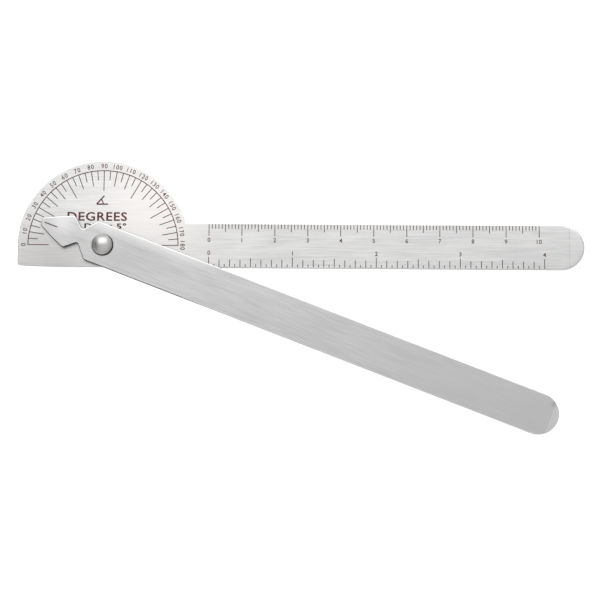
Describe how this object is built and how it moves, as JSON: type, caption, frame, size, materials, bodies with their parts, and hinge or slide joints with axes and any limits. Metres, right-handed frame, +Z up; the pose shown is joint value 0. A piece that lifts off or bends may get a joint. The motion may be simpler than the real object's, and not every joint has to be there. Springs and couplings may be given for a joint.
{
  "type": "goniometer protractor",
  "caption": "Flat steel protractor with a half-round degree dial on a ruled arm and a second arm, pointer at its head, that turns on a rivet through both.",
  "frame": {"origin": "on the pivot's axis, at the flat end of the rivet's hammered tail, on which the instrument lies", "axes": "+X along the ruled arm from the pivot to its round end; +Y across it, towards the top of the half-round dial; +Z up the pivot's axis, out of the graduated face and the rivet's domed head"},
  "size_m": [0.172, 0.0823, 0.0063],
  "materials": {
    "satin_steel": "brushed along each arm's length",
    "polished_steel": "polished stainless steel",
    "spring_steel": "plain rolled spring strip",
    "nylon": "natural nylon",
    "graduation_paint": "brown-red paint in the etched marks"
  },
  "bodies": {
    "protractor": {"protractor_blade": "satin_steel", "pivot_rivet": "polished_steel", "friction_washer": "nylon", "wave_washer": "spring_steel", "back_washer": "polished_steel"},
    "pointer": {"pointer_arm": "satin_steel"}
  },
  "joints": [
    {"name": "arm_swing", "type": "hinge", "parent": "protractor", "child": "pointer", "pos_m": [0, 0, 0.00385], "axis": [0, 0, 1], "continuous": true}
  ]
}
